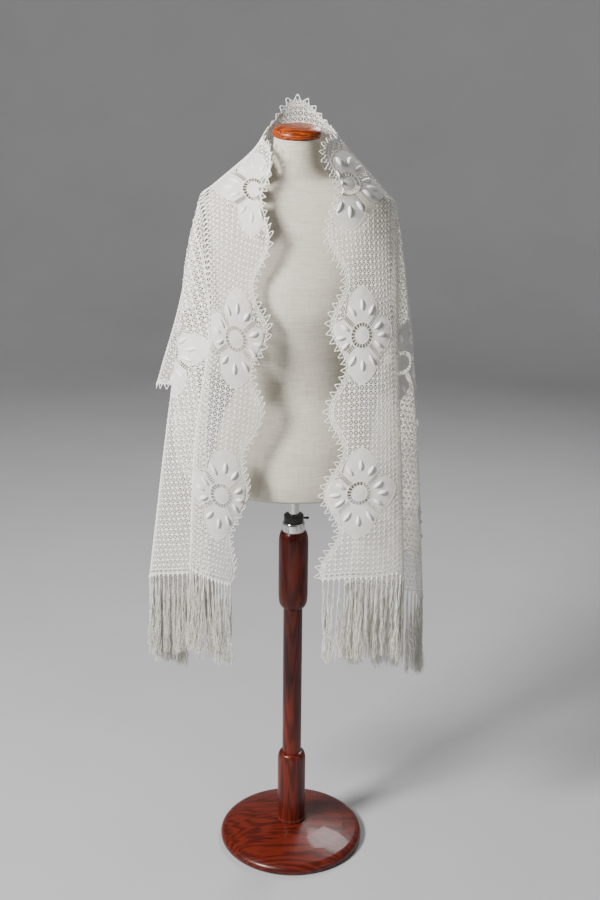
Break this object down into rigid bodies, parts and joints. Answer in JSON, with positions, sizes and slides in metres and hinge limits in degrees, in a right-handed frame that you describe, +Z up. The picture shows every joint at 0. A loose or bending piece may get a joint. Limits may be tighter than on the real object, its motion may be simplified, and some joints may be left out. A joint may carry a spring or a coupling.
{
  "type": "lace shawl on a dress form",
  "caption": "Long lace shawl with scalloped edges and fringed ends, draped over a limbless dress form on a round wooden pedestal.",
  "frame": {"origin": "centre of the base's underside, on the floor", "axes": "+Z up, -Y towards the front of the dress form, +X towards the viewer's right"},
  "size_m": [0.5971, 0.33, 1.6717],
  "materials": {
    "lace": "ivory bobbin lace, matt with a soft sheen on the dense stitches",
    "fringe": "ivory loose thread fringe",
    "linen": "off-white plain linen stretched over padding",
    "cap_wood": "orange-brown varnished wood with swirled grain",
    "mahogany": "glossy red-brown varnished wood",
    "chrome": "polished chrome",
    "black": "satin black clamp"
  },
  "bodies": {
    "root": {"shawl_left_front": "lace", "shawl_back": "lace", "shawl_right_front": "lace", "neck_edging": "lace", "outer_edging": "lace", "fringe_left": "fringe", "fringe_right": "fringe", "torso": "linen", "neck_cap": "cap_wood", "base": "mahogany", "post_socket": "mahogany", "post": "mahogany", "grip": "mahogany", "ferrule": "chrome", "clamp": "black", "clamp_lever": "black", "tube": "chrome"}
  },
  "joints": []
}
